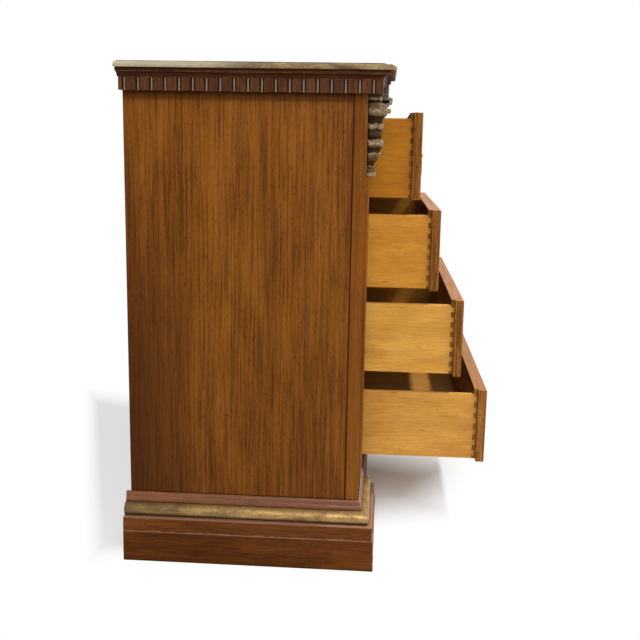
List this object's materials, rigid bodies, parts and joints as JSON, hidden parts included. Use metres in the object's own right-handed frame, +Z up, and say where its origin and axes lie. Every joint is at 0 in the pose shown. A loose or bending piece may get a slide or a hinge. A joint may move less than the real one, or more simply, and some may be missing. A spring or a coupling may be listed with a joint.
{
  "type": "chest of drawers",
  "caption": "Chest of drawers with projecting corner pilasters, dentil cornice, carved corbels, gilt mouldings, dovetailed drawers and hinged ring pulls.",
  "frame": {"origin": "on the floor under the middle of the case, on the underside of the middle floor bearer", "axes": "+X along the width, the drawers open towards -Y, +Z up"},
  "size_m": [1.323, 0.7479, 0.9727],
  "materials": {
    "stained_wood": "stained walnut brown, satin lacquer",
    "gilt_wood": "antique gold leaf, rubbed",
    "carved_wood": "carved, dry brushed grey brown",
    "drawer_maple": "clear lacquered maple",
    "secondary_wood": "plain sawn",
    "pull_brass": "aged brass"
  },
  "bodies": {
    "case": {"left_side_panel": "stained_wood", "right_side_panel": "stained_wood", "left_pilaster": "stained_wood", "right_pilaster": "stained_wood", "left_frame_stile": "stained_wood", "right_frame_stile": "stained_wood", "left_partition": "secondary_wood", "right_partition": "secondary_wood", "left_runners": "secondary_wood", "right_runners": "secondary_wood", "back_panel": "secondary_wood", "case_bottom": "secondary_wood", "floor_bearers": "secondary_wood", "top_board": "stained_wood", "top_edge_moulding": "gilt_wood", "cornice_moulding": "stained_wood", "dentil_band": "stained_wood", "cornice_fascia": "stained_wood", "frieze_board": "stained_wood", "left_corbel": "carved_wood", "right_corbel": "carved_wood", "plinth_board": "stained_wood", "plinth_step": "stained_wood", "base_torus": "gilt_wood", "base_ogee": "stained_wood", "top_rail": "stained_wood", "upper_drawer_rail": "stained_wood", "middle_drawer_rail": "stained_wood", "lower_drawer_rail": "stained_wood", "bottom_rail": "stained_wood"},
    "top_drawer": {"top_drawer_front": "stained_wood", "top_drawer_sides": "drawer_maple", "top_drawer_back": "drawer_maple", "top_drawer_bottom": "drawer_maple", "top_drawer_rosettes": "pull_brass"},
    "top_drawer_left_ring": {"top_drawer_left_ring": "pull_brass"},
    "top_drawer_right_ring": {"top_drawer_right_ring": "pull_brass"},
    "upper_drawer": {"upper_drawer_front": "stained_wood", "upper_drawer_sides": "drawer_maple", "upper_drawer_back": "drawer_maple", "upper_drawer_bottom": "drawer_maple", "upper_drawer_rosettes": "pull_brass"},
    "upper_drawer_left_ring": {"upper_drawer_left_ring": "pull_brass"},
    "upper_drawer_right_ring": {"upper_drawer_right_ring": "pull_brass"},
    "lower_drawer": {"lower_drawer_front": "stained_wood", "lower_drawer_sides": "drawer_maple", "lower_drawer_back": "drawer_maple", "lower_drawer_bottom": "drawer_maple", "lower_drawer_rosettes": "pull_brass"},
    "lower_drawer_left_ring": {"lower_drawer_left_ring": "pull_brass"},
    "lower_drawer_right_ring": {"lower_drawer_right_ring": "pull_brass"},
    "bottom_drawer": {"bottom_drawer_front": "stained_wood", "bottom_drawer_sides": "drawer_maple", "bottom_drawer_back": "drawer_maple", "bottom_drawer_bottom": "drawer_maple", "bottom_drawer_rosettes": "pull_brass"},
    "bottom_drawer_left_ring": {"bottom_drawer_left_ring": "pull_brass"},
    "bottom_drawer_right_ring": {"bottom_drawer_right_ring": "pull_brass"}
  },
  "joints": [
    {"name": "top_drawer_slide", "type": "slide", "parent": "case", "child": "top_drawer", "axis": [0, -1, 0], "range_m": [-0.1163, 0.1837]},
    {"name": "top_drawer_left_ring_swing", "type": "hinge", "parent": "top_drawer", "child": "top_drawer_left_ring", "pos_m": [-0.175, -0.3462, 0.80788], "axis": [-1, 0, 0], "range_deg": [0, 85]},
    {"name": "top_drawer_right_ring_swing", "type": "hinge", "parent": "top_drawer", "child": "top_drawer_right_ring", "pos_m": [0.175, -0.3462, 0.80788], "axis": [-1, 0, 0], "range_deg": [0, 85]},
    {"name": "upper_drawer_slide", "type": "slide", "parent": "case", "child": "upper_drawer", "axis": [0, -1, 0], "range_m": [-0.1615, 0.1385]},
    {"name": "upper_drawer_left_ring_swing", "type": "hinge", "parent": "upper_drawer", "child": "upper_drawer_left_ring", "pos_m": [-0.175, -0.3914, 0.6126], "axis": [-1, 0, 0], "range_deg": [0, 85]},
    {"name": "upper_drawer_right_ring_swing", "type": "hinge", "parent": "upper_drawer", "child": "upper_drawer_right_ring", "pos_m": [0.175, -0.3914, 0.6126], "axis": [-1, 0, 0], "range_deg": [0, 85]},
    {"name": "lower_drawer_slide", "type": "slide", "parent": "case", "child": "lower_drawer", "axis": [0, -1, 0], "range_m": [-0.218, 0.082]},
    {"name": "lower_drawer_left_ring_swing", "type": "hinge", "parent": "lower_drawer", "child": "lower_drawer_left_ring", "pos_m": [-0.175, -0.4479, 0.42441], "axis": [-1, 0, 0], "range_deg": [0, 85]},
    {"name": "lower_drawer_right_ring_swing", "type": "hinge", "parent": "lower_drawer", "child": "lower_drawer_right_ring", "pos_m": [0.175, -0.4479, 0.42441], "axis": [-1, 0, 0], "range_deg": [0, 85]},
    {"name": "bottom_drawer_slide", "type": "slide", "parent": "case", "child": "bottom_drawer", "axis": [0, -1, 0], "range_m": [-0.2764, 0.0236]},
    {"name": "bottom_drawer_left_ring_swing", "type": "hinge", "parent": "bottom_drawer", "child": "bottom_drawer_left_ring", "pos_m": [-0.175, -0.5063, 0.23169], "axis": [-1, 0, 0], "range_deg": [0, 85]},
    {"name": "bottom_drawer_right_ring_swing", "type": "hinge", "parent": "bottom_drawer", "child": "bottom_drawer_right_ring", "pos_m": [0.175, -0.5063, 0.23169], "axis": [-1, 0, 0], "range_deg": [0, 85]}
  ]
}
